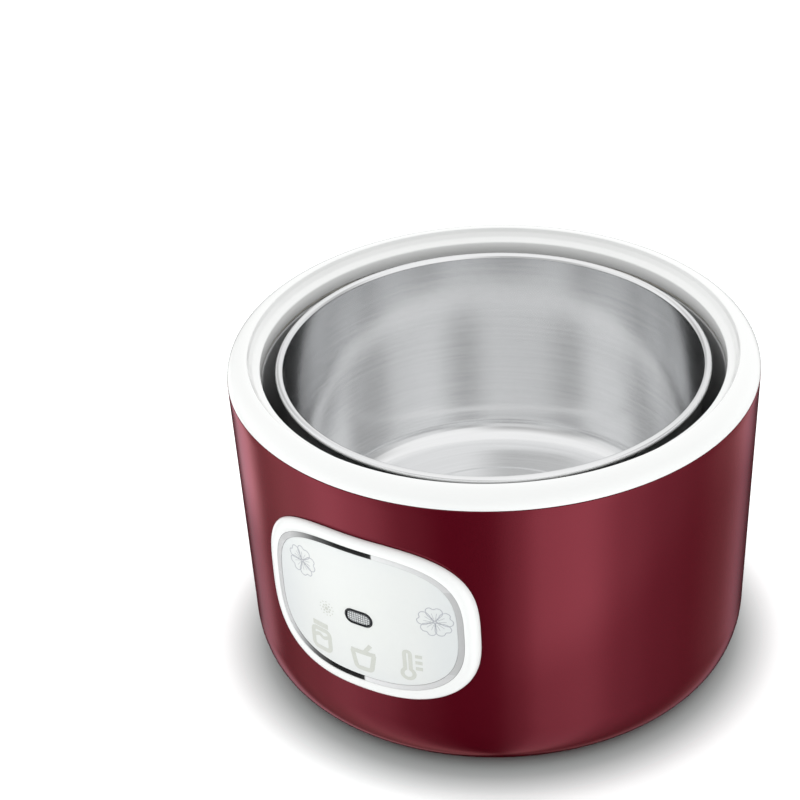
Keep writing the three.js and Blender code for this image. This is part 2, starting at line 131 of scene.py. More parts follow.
def tidy_mesh(obj, smooth_degrees=32):
    """Merges doubles, points the faces outwards and smooths all but the sharp edges."""
    work = bmesh.new()
    work.from_mesh(obj.data)
    bmesh.ops.remove_doubles(work, verts=work.verts, dist=2e-6)
    bmesh.ops.dissolve_degenerate(work, edges=work.edges, dist=1e-7)
    bmesh.ops.recalc_face_normals(work, faces=work.faces)
    work.to_mesh(obj.data)
    work.free()
    obj.data.shade_smooth()
    obj.data.set_sharp_from_angle(angle=math.radians(smooth_degrees))


def rounded(points, closed=False, steps=6):
    """A profile with its corners rounded: a point is (a, b) or (a, b, corner radius)."""
    result = []
    count = len(points)
    for i, corner in enumerate(points):
        radius = corner[2] if len(corner) > 2 else 0
        at_end = not closed and i in (0, count - 1)
        here = Vector(corner[:2])
        if radius == 0 or at_end:
            result.append(tuple(here))
            continue
        back = Vector(points[i - 1][:2]) - here
        ahead = Vector(points[(i + 1) % count][:2]) - here
        reach = min(back.length, ahead.length) * 0.49
        back.normalize()
        ahead.normalize()
        half = back.angle(ahead) / 2
        leg = min(radius / math.tan(half), reach)
        bow = leg * math.tan(half)
        centre = here + (back + ahead).normalized() * (bow / math.sin(half))
        start = here + back * leg - centre
        sweep = start.angle_signed(here + ahead * leg - centre)
        for k in range(steps + 1):
            turn = -sweep * k / steps
            arm = Vector((start.x * math.cos(turn) - start.y * math.sin(turn),
                          start.x * math.sin(turn) + start.y * math.cos(turn)))
            result.append(tuple(centre + arm))
    return result


def arc(centre, radii, start, end, steps=24):
    """Points of an ellipse's arc, angles in degrees."""
    angles = np.radians(np.linspace(start, end, steps + 1))
    return [(centre[0] + radii[0] * math.cos(t), centre[1] + radii[1] * math.sin(t)) for t in angles]


def divided(points, longest):
    """The same profile with no stretch longer than this."""
    result = [points[0]]
    for a, b in zip(points, points[1:]):
        length = math.dist(a[:2], b[:2])
        count = max(1, math.ceil(length / longest))
        result += [tuple(np.add(a, np.subtract(b, a) * k / count)) for k in range(1, count + 1)]
    return result


def lathe(name, profile, material, closed=False, segments=SEGMENTS, centre=(0, 0)):
    """A profile of (radius, z) turned about the vertical line through centre."""
    def place(radius, z, turn):
        return centre[0] + radius * math.cos(turn), centre[1] + radius * math.sin(turn), z
    return revolve(name, profile, material, place, segments, closed)


def revolve(name, profile, material, place, segments, closed=False):
    """A turned skin: place gives the point for a radius, a height and a turn."""
    points, rings = [], []
    for radius, height in profile:
        first = len(points)
        if radius < 1e-6:
            points.append(place(0, height, 0))
            rings.append([first] * segments)
            continue
        points += [place(radius, height, 2 * math.pi * k / segments) for k in range(segments)]
        rings.append(list(range(first, first + segments)))
    return make_piece(name, points, skin(rings, closed), material)


def skin(rings, closed=False):
    """Faces between neighbouring rings of point numbers."""
    faces = []
    pairs = list(zip(rings, rings[1:]))
    if closed:
        pairs.append((rings[-1], rings[0]))
    for low, high in pairs:
        count = len(low)
        for k in range(count):
            following = (k + 1) % count
            corners = [low[k], low[following], high[following], high[k]]
            face = list(dict.fromkeys(corners))
            if len(face) > 2:
                faces.append(face)
    return faces


def boolean(obj, cutter, operation="DIFFERENCE"):
    """Cuts or joins obj with cutter, which is used up, and keeps the result as a plain mesh."""
    modifier = obj.modifiers.new("cut", "BOOLEAN")
    modifier.operation = operation
    modifier.solver = "EXACT"
    modifier.object = cutter
    bake_modifiers(obj)
    bpy.data.objects.remove(cutter)


def bake_modifiers(obj):
    """Applies every modifier on obj."""
    evaluated = obj.evaluated_get(bpy.context.evaluated_depsgraph_get())
    mesh = bpy.data.meshes.new_from_object(evaluated)
    obj.modifiers.clear()
    obj.data = mesh


def bevelled(obj, width, segments=3, degrees=40):
    """Rounds the sharp edges of obj."""
    modifier = obj.modifiers.new("bevel", "BEVEL")
    modifier.width = width * MM
    modifier.segments = segments
    modifier.limit_method = "ANGLE"
    modifier.angle_limit = math.radians(degrees)
    bake_modifiers(obj)
    tidy_mesh(obj)


def sweep(name, sections, material, closed=False, smooth_degrees=32):
    """A skin over sections of equally many points, closed on itself or with a face at each end."""
    count = len(sections[0])
    rings = [list(range(i * count, (i + 1) * count)) for i in range(len(sections))]
    faces = skin(rings, closed)
    if not closed:
        faces += [rings[0][::-1], rings[-1]]
    return make_piece(name, sum(sections, []), faces, material, smooth_degrees)


def prism(name, outline, low, high, material, axis="Y"):
    """A prism of an outline: (x, z) along Y, or (x, y) along Z."""
    place = {"Y": lambda p, h: (p[0], h, p[1]), "Z": lambda p, h: (p[0], p[1], h)}[axis]
    return sweep(name, [[place(p, height) for p in outline] for height in (low, high)], material)


def block(name, low, high, material):
    """A box between two corners."""
    outline = [(low[0], low[1]), (high[0], low[1]), (high[0], high[1]), (low[0], high[1])]
    return prism(name, outline, low[2], high[2], material, "Z")


def post(name, x, y, low, high, radius, material, segments=40):
    """An upright cylinder."""
    outline = [(x + a, y + b) for a, b in around(segments, radius)]
    return prism(name, outline, low, high, material, "Z")


def turn_about_z(obj, degrees):
    """Turns a mesh's points about the vertical axis."""
    obj.data.transform(Matrix.Rotation(math.radians(degrees), 4, "Z"))
    return obj


def around(count, radius, first_degrees=0):
    """Places evenly spaced on a circle."""
    turns = [math.radians(first_degrees + 360 * i / count) for i in range(count)]
    return [(radius * math.cos(t), radius * math.sin(t)) for t in turns]


def stadium(length, height, cx=0, cz=0, steps=24):
    """The outline of a bar with round ends."""
    half, reach = height / 2, (length - height) / 2
    return (arc((cx + reach, cz), (half, half), -90, 90, steps)
            + arc((cx - reach, cz), (half, half), 90, 270, steps))


def settle(obj, node, slot, body="housing"):
    """The piece stands for its CAD node and rides on its body; the slot argument is not used."""
    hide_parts(node)
    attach(obj, body)


# ---- materials ----
VIEW_AZIMUTH = 30.8  # the studio's and camera's direction, degrees from -Y towards +X
VIEW_SIN, VIEW_COS = math.sin(math.radians(VIEW_AZIMUTH)), math.cos(math.radians(VIEW_AZIMUTH))
SHADE_SHIFT = 5  # the floor's painted shadow and its glow are centred this far towards the viewer
SCRIM_HALF_WIDTH, SCRIM_HALF_DEPTH = 190, 150  # a dark scrim on the floor, seen only in reflections, that paints the floor's shade into them
SCRIM_SHIFT = 20  # the scrim's middle lies this far to the right in the view
WHITE, BLACK = (1, 1, 1, 1), (0, 0, 0, 1)


class Nodes:
    """Short calls for building a node tree round its shader."""

    def __init__(self, tree, shader=None):
        self.tree = tree
        self.shader = shader

    def feed(self, socket, value):
        if isinstance(value, bpy.types.NodeSocket):
            self.tree.links.new(value, socket)
        else:
            socket.default_value = value

    def set(self, **inputs):
        """Sets or links the shader's inputs by name, with _ for a space."""
        for name, value in inputs.items():
            self.feed(self.shader.inputs[name.replace("_", " ")], value)

    def make(self, kind, *values, **settings):
        """Adds a node, sets its first inputs in order and returns its first output."""
        node = self.tree.nodes.new("ShaderNode" + kind)
        for name, value in settings.items():
            setattr(node, name, value)
        for socket, value in zip(node.inputs, values):
            self.feed(socket, value)
        return node.outputs[0] if node.outputs else None

    def math(self, operation, *values):
        return self.make("Math", *values, operation=operation)

    def length(self, a, b):
        """The length of a vector with these two parts."""
        return self.math("SQRT", self.math("ADD", self.math("MULTIPLY", a, a), self.math("MULTIPLY", b, b)))

    def position(self):
        """The object's own coordinates, which are the frame's."""
        return self.tree.nodes.new("ShaderNodeTexCoord").outputs["Object"]

    def split(self, vector):
        return self.make("SeparateXYZ", vector).node.outputs[:3]

    def noise(self, scale, detail, vector=None):
        return self.make("TexNoise", vector or self.position(), 0.0, scale, detail, 0.55)

    def spread(self, value, low, high, source=(0.3, 0.7)):
        """Maps a value's usual range onto low to high."""
        return self.make("MapRange", value, *source, low, high)

    def ramp(self, value, stops, interpolation="LINEAR"):
        """A colour ramp: stops are (position, colour or grey)."""
        output = self.make("ValToRGB", value)
        ramp = output.node.color_ramp
        ramp.interpolation = interpolation
        while len(ramp.elements) < len(stops):
            ramp.elements.new(1)
        for element, (position, tone) in zip(ramp.elements, stops):
            element.position = position
            element.color = (tone, tone, tone, 1) if isinstance(tone, (int, float)) else tone
        return output

    def blend(self, factor, a, b, blend_type="MIX"):
        node = self.tree.nodes.new("ShaderNodeMix")
        node.data_type = "RGBA"
        node.blend_type = blend_type
        self.feed(node.inputs["Factor"], factor)
        self.feed(node.inputs["A"], a)
        self.feed(node.inputs["B"], b)
        return node.outputs["Result"]

    def mottled(self, factor, rgba, low, high):
        """A colour that varies between two shares of itself."""
        return self.blend(factor, scaled(rgba, low), scaled(rgba, high))

    def bump(self, height, distance, *normal):
        return self.make("Bump", 1.0, distance, 0.1, height, *normal)


def new_material(name):
    """A node material, and the calls that fill it."""
    material = bpy.data.materials.new(name)
    material.use_nodes = True
    tree = material.node_tree
    return material, Nodes(tree, next(node for node in tree.nodes if node.type == "BSDF_PRINCIPLED"))


def colour(r, g, b):
    """An sRGB colour, 0 to 255, as linear values with alpha."""
    def linear(v):
        v /= 255
        return v / 12.92 if v <= 0.04045 else ((v + 0.055) / 1.055) ** 2.4
    return linear(r), linear(g), linear(b), 1.0


def scaled(rgba, factor):
    return tuple(min(1.0, c * factor) for c in rgba[:3]) + (1.0,)


def moulded(name, rgba, roughness, variation=0.06, grain=900, grain_depth=0.00001, **gloss):
    """Moulded or painted plastic: slow colour drift, uneven gloss, fine grain and a slight waviness."""
    material, n = new_material(name)
    n.set(Base_Color=n.mottled(n.noise(14, 2), rgba, 1 - variation, 1 + variation),
          Roughness=n.spread(n.noise(60, 4), roughness * 0.88, roughness * 1.12),
          Normal=n.bump(n.noise(grain, 3), grain_depth, n.bump(n.noise(22, 2), 0.00002)), **gloss)
    return material


def turned_metal(name, rgba, roughness, line_scale, line_depth, metallic=1.0):
    """Metal spun or brushed round its axis: fine rings follow the radius and the height."""
    material, n = new_material(name)
    x, y, z = n.split(n.position())
    lines = n.noise(1.0, 2, n.make("CombineXYZ", n.math("MULTIPLY", n.length(x, y), line_scale),
                                   n.math("MULTIPLY", z, line_scale),
                                   n.math("MULTIPLY", n.math("ARCTAN2", y, x), 1.5)))
    uneven = n.math("MULTIPLY", n.math("ADD", lines, n.noise(9, 3)), 0.5)
    n.set(Base_Color=n.mottled(lines, rgba, 0.93, 1.04), Metallic=metallic,
          Roughness=n.spread(uneven, roughness * 0.75, roughness * 1.25), Normal=n.bump(lines, line_depth))
    return material


def plated_metal(name, rgba, roughness):
    """Small plated or stamped metal: soft mottling and fine scratches along X."""
    material, n = new_material(name)
    x, y, z = n.split(n.position())
    mottle = n.noise(300, 4)
    scratches = n.noise(60, 3, n.make("CombineXYZ", x, n.math("MULTIPLY", y, 12), n.math("MULTIPLY", z, 12)))
    n.set(Base_Color=n.mottled(mottle, rgba, 0.85, 1.05), Metallic=1.0,
          Roughness=n.spread(scratches, roughness * 0.8, roughness * 1.3), Normal=n.bump(mottle, 0.000006))
    return material


def shell_material():
    """Satin burgundy lacquer with a fine metallic undertone."""
    material, n = new_material("burgundy_lacquer")
    base = (0.188, 0.0038, 0.0165, 1)
    tone = n.mottled(n.noise(10, 2), base, 0.95, 1.05)
    peel = n.bump(n.noise(420, 2), 0.000004)
    n.set(Base_Color=n.blend(n.spread(n.noise(5200, 1), 0, 1), scaled(base, 0.90), tone),
          Roughness=n.spread(n.noise(45, 4), 0.17, 0.21), Normal=n.bump(n.noise(16, 1), 0.00003, peel),
          Metallic=0.6, Specular_Tint=(1.0, 0.26, 0.42, 1),
          Coat_Weight=0.17, Coat_IOR=2.2, Coat_Roughness=0.16)
    return material


def plate_material():
    """Pearl printed plate: a silver-white film under a clear face, greyer towards its sides."""
    material, n = new_material("pearl_plate")
    x, _, z = n.split(n.position())
    across = n.math("ABSOLUTE", n.math("DIVIDE", x, PANEL_HALF_WIDTH * MM))
    up = n.math("ABSOLUTE", n.math("DIVIDE", n.math("SUBTRACT", z, PANEL_Z * MM), PANEL_HALF_HEIGHT * MM))
    edge = n.math("MAXIMUM", across, n.math("MULTIPLY", up, 0.8))
    tone = n.ramp(edge, [(0.0, colour(231, 233, 230)), (0.45, colour(230, 232, 230)),
                         (0.8, colour(225, 228, 228)), (1.0, colour(218, 221, 223))], "EASE")
    sparkle = n.spread(n.noise(420, 2), 0, 0.03)
    n.set(Base_Color=n.blend(sparkle, tone, colour(196, 200, 210)),
          Roughness=n.spread(n.noise(140, 3), 0.31, 0.37), Normal=n.bump(n.noise(120, 1), 0.000002),
          Metallic=0.05, Coat_Weight=0.3, Coat_Roughness=0.1)
    return material


def trim_material():
    """Bright silver foil with painted reflections: two dark painted reflection streaks, each fading in from
    the left and ending sharply at a painted highlight, and plain painted greys on its sides.
    """
    material, n = new_material("silver_trim_painted_reflections")
    x, _, z = n.split(n.position())
    along = n.spread(x, 0, 1, (-PANEL_HALF_WIDTH * MM, PANEL_HALF_WIDTH * MM))
    # brightnesses of the painted reflections on the foil
    light, pale, grey, dark = 0.78, 0.62, 0.55, 0.002

    # a dark painted reflection that fades in from the left, ends sharply at a painted highlight and dims
    # again
    def painted_reflection_streak(start, end):
        span = end - start
        return n.ramp(along, [(0.0, grey), (start, grey), (start + span * 0.35, 0.10),
                              (start + span * 0.6, dark), (end - 0.02, dark * 4), (end, 0.03),
                              (end + 0.004, light), (0.82, pale), (1.0, grey)])

    above = n.math("GREATER_THAN", z, PANEL_Z * MM)
    height = n.math("ABSOLUTE", n.math("SUBTRACT", z, PANEL_Z * MM))
    on_top_or_bottom = n.math("GREATER_THAN", height, (PANEL_HALF_HEIGHT - PANEL_BAND) * 0.62 * MM)
    # the left and right sides carry a painted reflection: lightest in the middle, darker grey on the right
    # than on the left
    plain = n.ramp(along, [(0.0, grey), (0.5, light), (1.0, grey * 0.8)])
    # the foil's colour is painted reflection: streaks on top and bottom, plain greys on the sides
    tone = n.blend(on_top_or_bottom, plain, n.blend(above, painted_reflection_streak(0.12, 0.505), painted_reflection_streak(0.16, 0.585)))
    worn = n.blend(n.noise(700, 3), (0.94, 0.94, 0.95, 1), WHITE)
    n.set(Base_Color=n.blend(1.0, tone, worn, "MULTIPLY"), Roughness=n.spread(n.noise(250, 3), 0.20, 0.30),
          Normal=n.bump(n.noise(1400, 2), 0.000003), Specular_IOR_Level=0.12)
    return material


def ink_material(name, rgba):
    """Screen-printed ink, a little uneven."""
    material, n = new_material(name)
    n.set(Base_Color=n.mottled(n.noise(1800, 3), rgba, 0.90, 1.06),
          Roughness=n.spread(n.noise(600, 2), 0.38, 0.52), Normal=n.bump(n.noise(2600, 2), 0.000003))
    return material


def lens_material():
    """Clear moulded lens with grey lines between its prisms."""
    material, n = new_material("lamp_lens")
    x, _, z = n.split(n.position())
    pitch = LENS_PITCH * MM / 2
    weave = n.math("MINIMUM", n.math("PINGPONG", x, pitch), n.math("PINGPONG", z, pitch))
    lines = n.spread(weave, 1, 0, (pitch * 0.10, pitch * 0.42))
    clear = n.blend(n.noise(500, 2), colour(226, 229, 230), colour(246, 248, 248))
    n.set(Base_Color=n.blend(lines, clear, colour(96, 99, 102)),
          Roughness=n.spread(n.noise(900, 2), 0.05, 0.12),
          Normal=n.bump(n.noise(1500, 2), 0.000004), Transmission_Weight=0.12, IOR=1.49)
    return material


def circuit_material():
    """Green solder mask with lighter tracks."""
    material, n = new_material("circuit_board")
    x, _, z = n.split(n.position())
    wander = n.math("MULTIPLY", n.noise(160, 0), 0.004)
    track_x = n.math("PINGPONG", x, 0.0011)
    track_z = n.math("PINGPONG", n.math("ADD", z, wander), 0.0014)
    tracks = n.math("LESS_THAN", n.math("MINIMUM", track_x, track_z), 0.00022)
    n.set(Base_Color=n.blend(tracks, colour(22, 84, 44), colour(52, 128, 74)),
          Roughness=n.spread(n.noise(400, 2), 0.32, 0.42), Normal=n.bump(tracks, 0.00003))
    return material


def floor_material():
    """Matt white sweep with a soft glow, so that only the shade close to the object stays, and a painted
    shadow, tinted a little cyan, darkening it close to the object.
    """
    material, n = new_material("studio_sweep_painted_shadow")
    x, y, _ = n.split(n.position())
    radius = n.length(n.math("SUBTRACT", x, SHADE_SHIFT * VIEW_SIN * MM),
                      n.math("ADD", y, SHADE_SHIFT * VIEW_COS * MM))
    painted_shadow_share = n.spread(radius, 0, 1, (0.086, 0.109))
    # a pale tone that varies slowly, a little cyan against the red light the shell bounces onto the floor
    sweep = n.blend(n.noise(3, 2), (0.875, 0.905, 0.903, 1), (0.905, 0.935, 0.933, 1))
    # painted shadow: a darker, cyan-tinted colour close to the object
    n.set(Base_Color=n.blend(painted_shadow_share, (0.46, 0.52, 0.51, 1), sweep), Emission_Color=WHITE,
          Emission_Strength=n.spread(radius, 0, 0.5, (0.093, 0.120)), Roughness=0.9, Specular_IOR_Level=0.0)
    return material


def scrim_material():
    """A grey scrim that dims what shows through it, soft towards its edge: painted shade of the floor round
    the object, seen only in reflections.
    """
    material = bpy.data.materials.new("painted_shade_scrim")
    material.use_nodes = True
    material.node_tree.nodes.clear()
    n = Nodes(material.node_tree)
    x, y, _ = n.split(n.position())
    right = n.math("ADD", n.math("MULTIPLY", x, VIEW_COS), n.math("MULTIPLY", y, VIEW_SIN))
    ahead = n.math("SUBTRACT", n.math("MULTIPLY", x, VIEW_SIN), n.math("MULTIPLY", y, VIEW_COS))
    across = n.math("DIVIDE", n.math("SUBTRACT", right, SCRIM_SHIFT * MM), SCRIM_HALF_WIDTH * MM)
    distance = n.length(across, n.math("DIVIDE", ahead, SCRIM_HALF_DEPTH * MM))
    strength = n.spread(across, 0.46, 0.38, (-0.7, 0.0))
    amount = n.math("MULTIPLY", n.spread(distance, 1, 0, (0.91, 1.09)), strength)
    clear, dark = n.make("BsdfTransparent", WHITE), n.make("Emission", BLACK, 0.0)
    n.make("OutputMaterial", n.make("MixShader", amount, clear, dark))
    return material


def make_materials():
    return {
        "shell": shell_material(),
        "white": moulded("gloss_white", colour(242, 243, 242), 0.20, 0.012, 700, 0.000003,
                         Coat_Weight=0.35, Coat_Roughness=0.08),
        "base": moulded("base_white", colour(226, 227, 225), 0.42, 0.02, 1500, 0.00002),
        "pearl": plate_material(),
        "trim": trim_material(),
        "flower_ink": ink_material("flower_ink", colour(184, 186, 192)),
        "mark_ink": ink_material("mark_ink", colour(206, 208, 201)),
        "pot": turned_metal("polished_steel", (0.86, 0.865, 0.87, 1), 0.16, 700, 0.000002),
        "liner": turned_metal("drawn_aluminium", (0.60, 0.605, 0.61, 1), 0.45, 900, 0.000008, 0.5),
        "plate_metal": turned_metal("machined_aluminium", (0.60, 0.61, 0.62, 1), 0.23, 1800, 0.00001),
        "aluminium": plated_metal("aluminium", (0.62, 0.63, 0.65, 1), 0.39),
        "steel": plated_metal("zinc_plated_steel", (0.55, 0.56, 0.57, 1), 0.225),
        "brass": plated_metal("brass", (0.72, 0.54, 0.25, 1), 0.225),
        "smoke": moulded("lamp_ring", colour(44, 46, 50), 0.22, 0.05, Metallic=0.4),
        "lens": lens_material(),
        "black": moulded("black_plastic", colour(24, 25, 27), 0.48, 0.10, 1400, 0.00004),
        "rubber": moulded("rubber", colour(38, 38, 40), 0.85, 0.12, 800, 0.00006, Specular_IOR_Level=0.25),
        "silicone": moulded("silicone", colour(222, 219, 210), 0.62, 0.03, 500, 0.00002),
        "circuit": circuit_material(),
        "brown_wire": moulded("brown_insulation", colour(96, 60, 34), 0.45, 0.08),
        "blue_wire": moulded("blue_insulation", colour(38, 84, 158), 0.45, 0.08),
        "red_wire": moulded("red_insulation", colour(160, 34, 30), 0.45, 0.08),
        "floor": floor_material(),
        "painted_shade_scrim": scrim_material(),
    }


MATERIALS = make_materials()


# ---- housing ----
BASE_SCREW_PLACES = around(4, SCREW_CIRCLE, 45)
LINER_SCREW_PLACES = around(3, LINER_SCREW_CIRCLE, 30)


def shell_radius(z):
    return SHELL_TOP_RADIUS - SHELL_TAPER * (SHELL_TOP_Z - z)


def outer_shell():
    corner_z = SHELL_FOOT_Z + CORNER_HEIGHT
    corner_width = shell_radius(corner_z) - SHELL_FOOT_RADIUS
    foot_centre = (SHELL_FOOT_RADIUS, corner_z)
    outside = [(SHELL_LIP_RADIUS, SHELL_FOOT_Z)]
    outside += arc(foot_centre, (corner_width, CORNER_HEIGHT), -90, 0, 28)
    outside += rounded([outside[-1], (SHELL_TOP_RADIUS, SHELL_TOP_Z, 0.15),
                        (SHELL_TOP_RADIUS - SHELL_WALL, SHELL_TOP_Z)])[1:]
    inside = arc(foot_centre, (corner_width - SHELL_WALL, CORNER_HEIGHT - SHELL_WALL), 0, -90, 16)
    inside += [(SHELL_LIP_RADIUS, SHELL_FOOT_Z + SHELL_WALL)]
    profile = divided(outside + inside, 4)
    shell = lathe("outer_shell_skin", profile, "shell", closed=True)
    pad = prism("pad", superellipse(16, 11, 4, INLET_Z, 64), 90, INLET_SEAT_Y, "shell")
    boolean(shell, pad, "UNION")
    outline = superellipse(PANEL_HALF_WIDTH - FLANGE + 0.5, PANEL_HALF_HEIGHT - FLANGE + 0.5,
                           PANEL_ROUNDNESS, PANEL_Z, 96)
    boolean(shell, prism("opening", outline, -120, -70, "shell"))
    boolean(shell, prism("slot", stadium(20.2, 12.2, 0, INLET_Z), 85, 105, "shell"))
    for turn in (45, 135, 225, 315):
        boss = post("boss", SCREW_CIRCLE, 0, 7.8, 24, 4, "shell")
        rib = block("rib", (SCREW_CIRCLE + 3.2, -1.2, 9.5), (92.6, 1.2, 24), "shell")
        boolean(boss, rib, "UNION")
        boolean(boss, post("hole", SCREW_CIRCLE, 0, 7, 20, 1.8, "shell"))
        boolean(shell, turn_about_z(boss, turn), "UNION")
    tidy_mesh(shell, 30)
    settle(shell, "outer_shell", "shell")


def superellipse(half_width, half_height, exponent, cz, count):
    """A rounded outline between an ellipse and a rectangle, its points evenly spaced."""
    turns = even_turns(half_width, half_height, exponent, count)
    return outline_points(half_width, half_height, exponent, cz, turns)


def outline_points(half_width, half_height, exponent, cz, turns):
    power = 2 / exponent
    x = half_width * np.sign(np.cos(turns)) * np.abs(np.cos(turns)) ** power
    z = half_height * np.sign(np.sin(turns)) * np.abs(np.sin(turns)) ** power
    return [(float(a), cz + float(b)) for a, b in zip(x, z)]


def even_turns(half_width, half_height, exponent, count):
    """Turns that space an outline's points evenly along its length."""
    dense = np.linspace(0, 2 * math.pi, 20001)
    line = np.array(outline_points(half_width, half_height, exponent, 0, dense))
    length = np.concatenate([[0], np.cumsum(np.linalg.norm(np.diff(line, axis=0), axis=1))])
    return np.interp(np.linspace(0, length[-1], count, endpoint=False), length, dense)


def rim_ring():
    crest, throat, top = RIM_CREST_RADIUS, RIM_THROAT_RADIUS, RIM_HIGH.z
    seat = top - 6.4  # the level of its outer foot, on the shell
    throat_foot, shelf, skirt_foot = 117, 120.4, 111
    skirt_inner, skirt_outer = 94.8, 96.6
    outer = arc((crest, seat), (RIM_RADIUS - crest, top - seat), 0, 90, 30)
    scoop = [(crest - 0.3, top - 0.15, 0.3), (crest - 0.9, top - 1.5, 0.8), (crest - 2.2, top - 3.1, 1.6),
             (throat + 0.5, top - 4.1, 0.8)]
    inner = rounded(outer[-2:] + scoop + [
        (throat, throat_foot, 0.3), (throat + 2, throat_foot, 0.3), (throat + 2, shelf, 0.4),
        (crest, 123.6, 1.2), (skirt_inner, 122.2, 0.8), (skirt_inner, skirt_foot, 0.3),
        (skirt_outer, skirt_foot, 0.3), (skirt_outer + 0.2, seat, 0.15), (RIM_RADIUS - 0.1, seat)])[1:]
    ring = lathe("rim_ring_skin", divided(outer[:-1] + inner, 5), "white", closed=True)
    for x, y in LINER_SCREW_PLACES:
        boss = post("boss", x, y, WELL_HIGH.z + GAP, 122, 2.6, "white")
        boolean(boss, post("hole", x, y, 114, 120.5, 1.3, "white"))
        boolean(ring, boss, "UNION")
    tidy_mesh(ring, 35)
    settle(ring, "rim_ring", "white")


def base_cover():
    low = BASE_LOW.z
    radius = BASE_HIGH.x
    top = low + 2.5
    wall = 82.2  # the upright wall's inner radius
    profile = rounded([(0, low + 0.4), (52, low + 0.4, 0.4), (53, low, 0.4), (radius, low, 0.9),
                       (radius, BASE_HIGH.z, 0.5), (wall, BASE_HIGH.z, 0.5), (wall, top, 0.5), (0, top)])
    base = lathe("base_cover_skin", divided(profile, 8), "base")
    for x, y in around(4, SCREW_CIRCLE - 0.6, 45):
        boolean(base, post("boss", x, y, 4, 7.5, 5.6, "base"), "UNION")
    for x, y in BASE_SCREW_PLACES:
        boolean(base, post("well", x, y, 1, 4.9, 4, "base"))
        boolean(base, post("hole", x, y, 1, 9, 1.9, "base"))
    for x, y in around(4, FOOT_CIRCLE):
        boolean(base, post("seat", x, y, 1, 3.9, FOOT_RADIUS + 0.4, "base", 64))
    for i in range(8):
        slot = prism("vent", stadium(20, 3, 36, 0, 12), 0, 9, "base", "Z")
        boolean(base, turn_about_z(slot, 22.5 + 45 * i))
    bevelled(base, 0.22, 2)
    settle(base, "base_cover", "white")


def feet():
    for i, centre in enumerate(around(4, FOOT_CIRCLE)):
        profile = rounded([(0, 0.35), (3.6, 0.35, 0.3), (4.2, 0, 0.3), (FOOT_RADIUS - 0.5, 0, 0.8),
                           (FOOT_RADIUS, 2.4, 0.5), (FOOT_RADIUS, 3.6, 0.3), (0, 3.6)])
        foot = lathe(f"foot_{i + 1}_pad", profile, "rubber", segments=72, centre=centre)
        settle(foot, f"foot_{i + 1}", "rubber")


def screw(name, centre, z0, head_radius, head_height, shank_radius, shank_length):
    """A pan-head screw pointing up, with a cross recess and thread ridges."""
    shank_foot = z0 + head_height
    tip = shank_foot + shank_length
    head = rounded([(0, z0), (head_radius * 0.62, z0, 0.8), (head_radius, z0 + head_height * 0.75, 0.9),
                    (head_radius, shank_foot, 0.15), (shank_radius, shank_foot, 0.1)])
    thread = []
    for k in range(int(shank_length)):
        z = shank_foot + 0.5 + k
        thread += [(shank_radius * 0.8, z), (shank_radius, z + 0.35), (shank_radius, z + 0.5)]
    profile = head + thread + [(shank_radius * 0.8, tip - 0.5), (0, tip)]
    piece = lathe(name, profile, "steel", segments=48, centre=centre)
    long, short = head_radius * 0.55, head_radius * 0.13
    for dx, dy in ((long, short), (short, long)):
        recess = block("recess", (centre[0] - dx, centre[1] - dy, z0 - 1),
                       (centre[0] + dx, centre[1] + dy, z0 + head_height * 0.6), "steel")
        boolean(piece, recess)
    tidy_mesh(piece)
    return piece


def screws():
    sizes = {"base_screw": (BASE_SCREW_PLACES, 2.7, 3.4, 1.9, 1.4, 12),
             "liner_screw": (LINER_SCREW_PLACES, 112, 2.3, 2.1, 1.0, 5.4)}
    for kind, (places, *size) in sizes.items():
        for i, centre in enumerate(places):
            node = f"{kind}_{i + 1}"
            settle(screw(f"{node}_metal", centre, *size), node, "steel")


# ---- well, heating and pot ----
def well_liner():
    corner = 8
    low = WELL_FLOOR_Z
    inner_corner = arc((WELL_RADIUS - corner, low + corner), (corner, corner), 0, -90, 14)
    outer_corner = arc((WELL_RADIUS - corner, low + corner), (corner + WELL_WALL,) * 2, -90, 0, 14)
    top, under, flange_radius = WELL_HIGH.z, WELL_HIGH.z - WELL_WALL, 94
    flange = rounded([outer_corner[-1], (WELL_RADIUS + WELL_WALL, under, 0.5), (flange_radius, under, 0.4),
                      (flange_radius, top, 0.4), (WELL_RADIUS, top, 0.8), inner_corner[0]])[1:-1]
    floor = rounded([inner_corner[-1], (68, low, 0.6), (67, low - 0.5, 0.6), (0, low - 0.5)])
    profile = [(0, low - WELL_WALL)] + outer_corner + flange + inner_corner + floor[1:]
    liner = lathe("well_liner_skin", divided(profile, 6), "liner")
    for x, y in LINER_SCREW_PLACES:
        boolean(liner, post("hole", x, y, 112, 118, 1.7, "liner"))
    for x, y in STUDS:
        boolean(liner, post("hole", x, y, 30, 37, 2.3, "liner"))
    tidy_mesh(liner)
    settle(liner, "well_liner", "aluminium")


def well_gasket():
    low, high = node_box("well_gasket")
    inner, outer, corner = 87.4, high.x, 0.25
    profile = rounded([(inner, low.z, corner), (outer, low.z, corner), (outer, high.z, corner),
                       (inner, high.z, corner)], closed=True, steps=4)
    settle(lathe("well_gasket_ring", profile, "silicone", closed=True), "well_gasket", "silicone")


def heat_plate():
    low, high = node_box("heat_plate")
    radius = high.x
    under = high.z - 3
    profile = [(0, under), (radius, under, 0.4), (radius, high.z, 0.9)]
    for groove in (52, 40, 28, 16):
        profile += [(groove + 1.2, high.z, 0.2), (groove + 0.7, high.z - 0.35, 0.2),
                    (groove - 0.7, high.z - 0.35, 0.2), (groove - 1.2, high.z, 0.2)]
    profile += [(0, high.z)]
    plate = lathe("heat_plate_disc", rounded(profile, steps=4), "plate_metal")
    for x, y in STUDS:
        stud = lathe("stud", rounded([(0, low.z), (1.8, low.z, 0.5), (1.8, under + 1), (0, under + 1)]),
                     "plate_metal", segments=40, centre=(x, y))
        boolean(plate, stud, "UNION")
    tidy_mesh(plate)
    settle(plate, "heat_plate", "aluminium")


